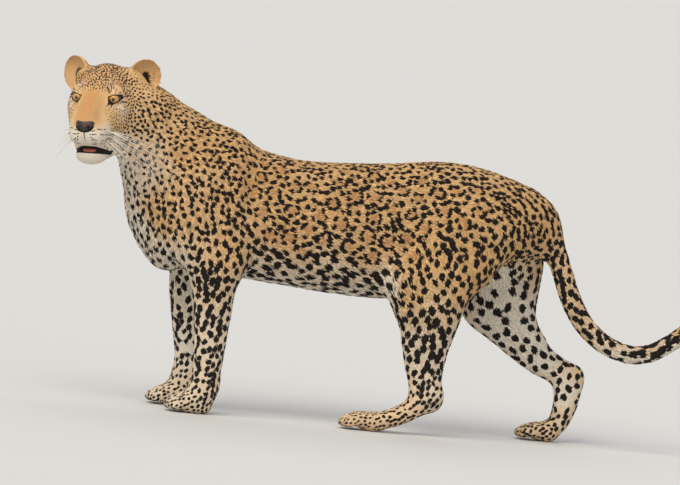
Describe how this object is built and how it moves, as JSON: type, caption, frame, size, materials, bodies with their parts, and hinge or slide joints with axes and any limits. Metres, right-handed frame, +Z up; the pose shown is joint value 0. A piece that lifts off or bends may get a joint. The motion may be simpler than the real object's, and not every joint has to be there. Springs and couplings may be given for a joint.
{
  "type": "leopard",
  "caption": "Life-size standing leopard, spotted coat, head turned to its left with the mouth slightly open, one hind leg stepping forward and the tail curving up behind.",
  "frame": {"origin": "on the floor, under the middle of the outline", "axes": "+Z up, -X the way the animal walks, -Y to its left"},
  "size_m": [1.67, 0.3354, 0.823],
  "materials": {
    "coat": "short dense fur, golden with dark spots",
    "ear": "thin short fur",
    "eye": "wet amber",
    "nose": "damp dark skin",
    "tongue": "wet pink"
  },
  "bodies": {
    "root": {"torso": "coat", "neck": "coat", "head": "coat", "lower_jaw": "coat", "ear_left": "ear", "ear_right": "ear", "eye_left": "eye", "eye_right": "eye", "nose": "nose", "tongue": "tongue", "foreleg_left": "coat", "foreleg_right": "coat", "forepaw_left": "coat", "forepaw_right": "coat", "hindleg_left": "coat", "hindleg_right": "coat", "hindfoot_left": "coat", "hindfoot_right": "coat", "tail_root": "coat", "tail_middle": "coat", "tail_end": "coat"}
  },
  "joints": []
}
